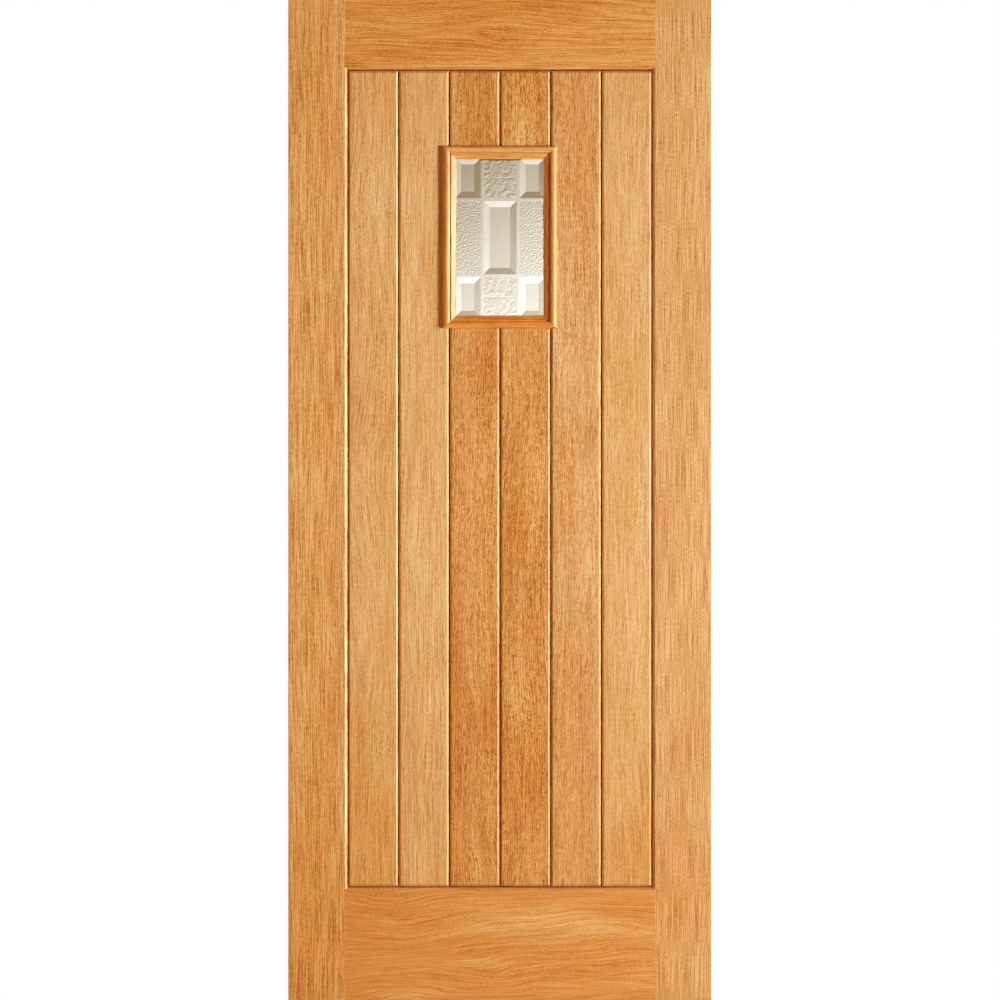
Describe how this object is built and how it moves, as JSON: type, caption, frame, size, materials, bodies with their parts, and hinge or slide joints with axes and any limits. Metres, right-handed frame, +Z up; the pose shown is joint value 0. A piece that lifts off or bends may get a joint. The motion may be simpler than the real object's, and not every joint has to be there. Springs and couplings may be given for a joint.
{
  "type": "boarded oak door leaf with a small glazed light",
  "caption": "Oak external door leaf of upright V-jointed boards in a tenoned frame, with a small bevelled glass light in a raised moulding.",
  "frame": {"origin": "middle of the leaf's bottom edge, halfway through its thickness", "axes": "+Z up the leaf, front face towards -Y, +X to the right seen from the front"},
  "size_m": [0.838, 0.06, 1.981],
  "materials": {
    "oak_frame": "planed oak, satin oil",
    "oak_boards": "planed oak, satin oil",
    "oak_beads": "moulded oak, satin oil",
    "core_foam": "cut foam",
    "batten_wood": "sawn softwood",
    "pin_steel": "drawn wire",
    "clear_glass": "polished",
    "bevelled_glass": "polished, ground bevels",
    "textured_glass": "cast texture",
    "spacer_aluminium": "mill",
    "glazing_tape": "matt",
    "edge_sealant": "matt",
    "block_plastic": "moulded"
  },
  "bodies": {
    "root": {"left_stile": "oak_frame", "right_stile": "oak_frame", "top_rail": "oak_frame", "bottom_rail": "oak_frame", "front_board_1": "oak_boards", "front_board_2": "oak_boards", "front_board_3_upper": "oak_boards", "front_board_3_lower": "oak_boards", "front_board_4_upper": "oak_boards", "front_board_4_lower": "oak_boards", "front_board_5": "oak_boards", "front_board_6": "oak_boards", "back_board_1": "oak_boards", "back_board_2": "oak_boards", "back_board_3_upper": "oak_boards", "back_board_3_lower": "oak_boards", "back_board_4_upper": "oak_boards", "back_board_4_lower": "oak_boards", "back_board_5": "oak_boards", "back_board_6": "oak_boards", "core_left": "core_foam", "core_right": "core_foam", "core_upper": "core_foam", "core_lower": "core_foam", "batten_left": "batten_wood", "batten_right": "batten_wood", "batten_top": "batten_wood", "batten_bottom": "batten_wood", "front_bead_top": "oak_beads", "front_bead_left": "oak_beads", "front_bead_bottom": "oak_beads", "front_bead_right": "oak_beads", "back_bead_top": "oak_beads", "back_bead_left": "oak_beads", "back_bead_bottom": "oak_beads", "back_bead_right": "oak_beads", "front_bead_pins": "pin_steel", "back_bead_pins": "pin_steel", "front_pane": "clear_glass", "back_pane": "clear_glass", "front_spacer": "spacer_aluminium", "back_spacer": "spacer_aluminium", "front_tape": "glazing_tape", "back_tape": "glazing_tape", "edge_seal": "edge_sealant", "setting_blocks": "block_plastic", "carrier_pane": "clear_glass", "glass_top_left": "bevelled_glass", "glass_top_centre": "textured_glass", "glass_top_right": "bevelled_glass", "glass_middle_left": "textured_glass", "glass_middle_centre": "bevelled_glass", "glass_middle_right": "textured_glass", "glass_bottom_left": "bevelled_glass", "glass_bottom_centre": "textured_glass", "glass_bottom_right": "bevelled_glass"}
  },
  "joints": []
}
